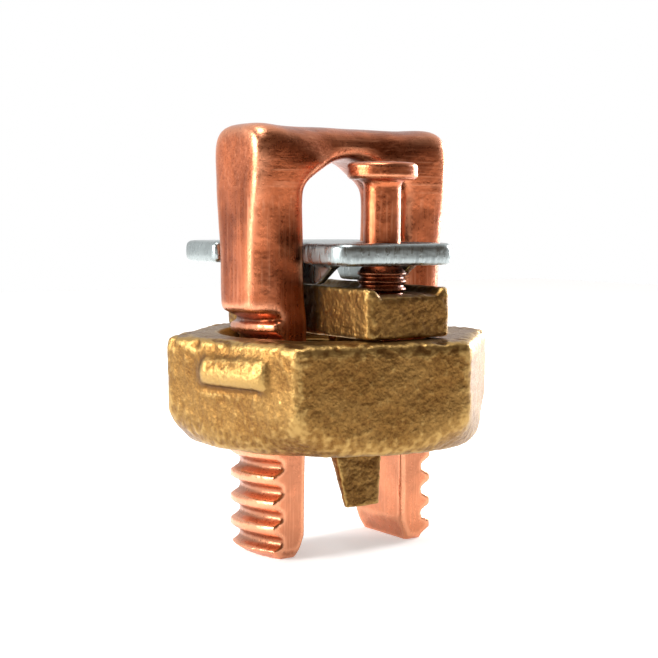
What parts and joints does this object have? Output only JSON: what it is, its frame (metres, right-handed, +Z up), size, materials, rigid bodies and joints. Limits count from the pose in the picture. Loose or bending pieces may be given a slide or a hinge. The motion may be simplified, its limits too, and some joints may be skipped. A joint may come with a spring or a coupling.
{
  "type": "split bolt connector",
  "caption": "U-shaped split bolt with threaded legs, hexagon nut, pressure bar, spacer plate and flanged stud, for clamping parallel cables.",
  "frame": {"origin": "on the thread axis, in the plane of the open leg ends that the part stands on", "axes": "+Z up along the thread axis, from the leg ends to the arch; X through the two legs; Y along the cables, with the stud on the -Y side"},
  "size_m": [0.035, 0.0352, 0.0448],
  "materials": {
    "copper": "satin copper",
    "bronze": "cast, slightly grainy",
    "bronze_bar": "cast, slightly grainy",
    "plated_steel": "bright plating",
    "copper_stud": "satin copper"
  },
  "bodies": {
    "bolt": {"split_bolt": "copper"},
    "bar": {"pressure_bar": "bronze_bar", "stud": "copper_stud"},
    "nut": {"nut": "bronze"},
    "spacer": {"spacer": "plated_steel"}
  },
  "joints": [
    {"name": "bar_slide", "type": "slide", "parent": "bolt", "child": "bar", "axis": [0, 0, 1], "range_m": [-0.0111, 0.0013]},
    {"name": "nut_turn", "type": "hinge", "parent": "bar", "child": "nut", "pos_m": [0, 0, 0.018], "axis": [0, 0, 1], "range_deg": [-1523, 166]},
    {"name": "spacer_slide", "type": "slide", "parent": "bar", "child": "spacer", "axis": [0, 0, 1], "range_m": [0, 0.0045]}
  ],
  "couplings": [
    {"joint": "bar_slide", "follows": "nut_turn", "m_per_rad": 0.0004138}
  ]
}
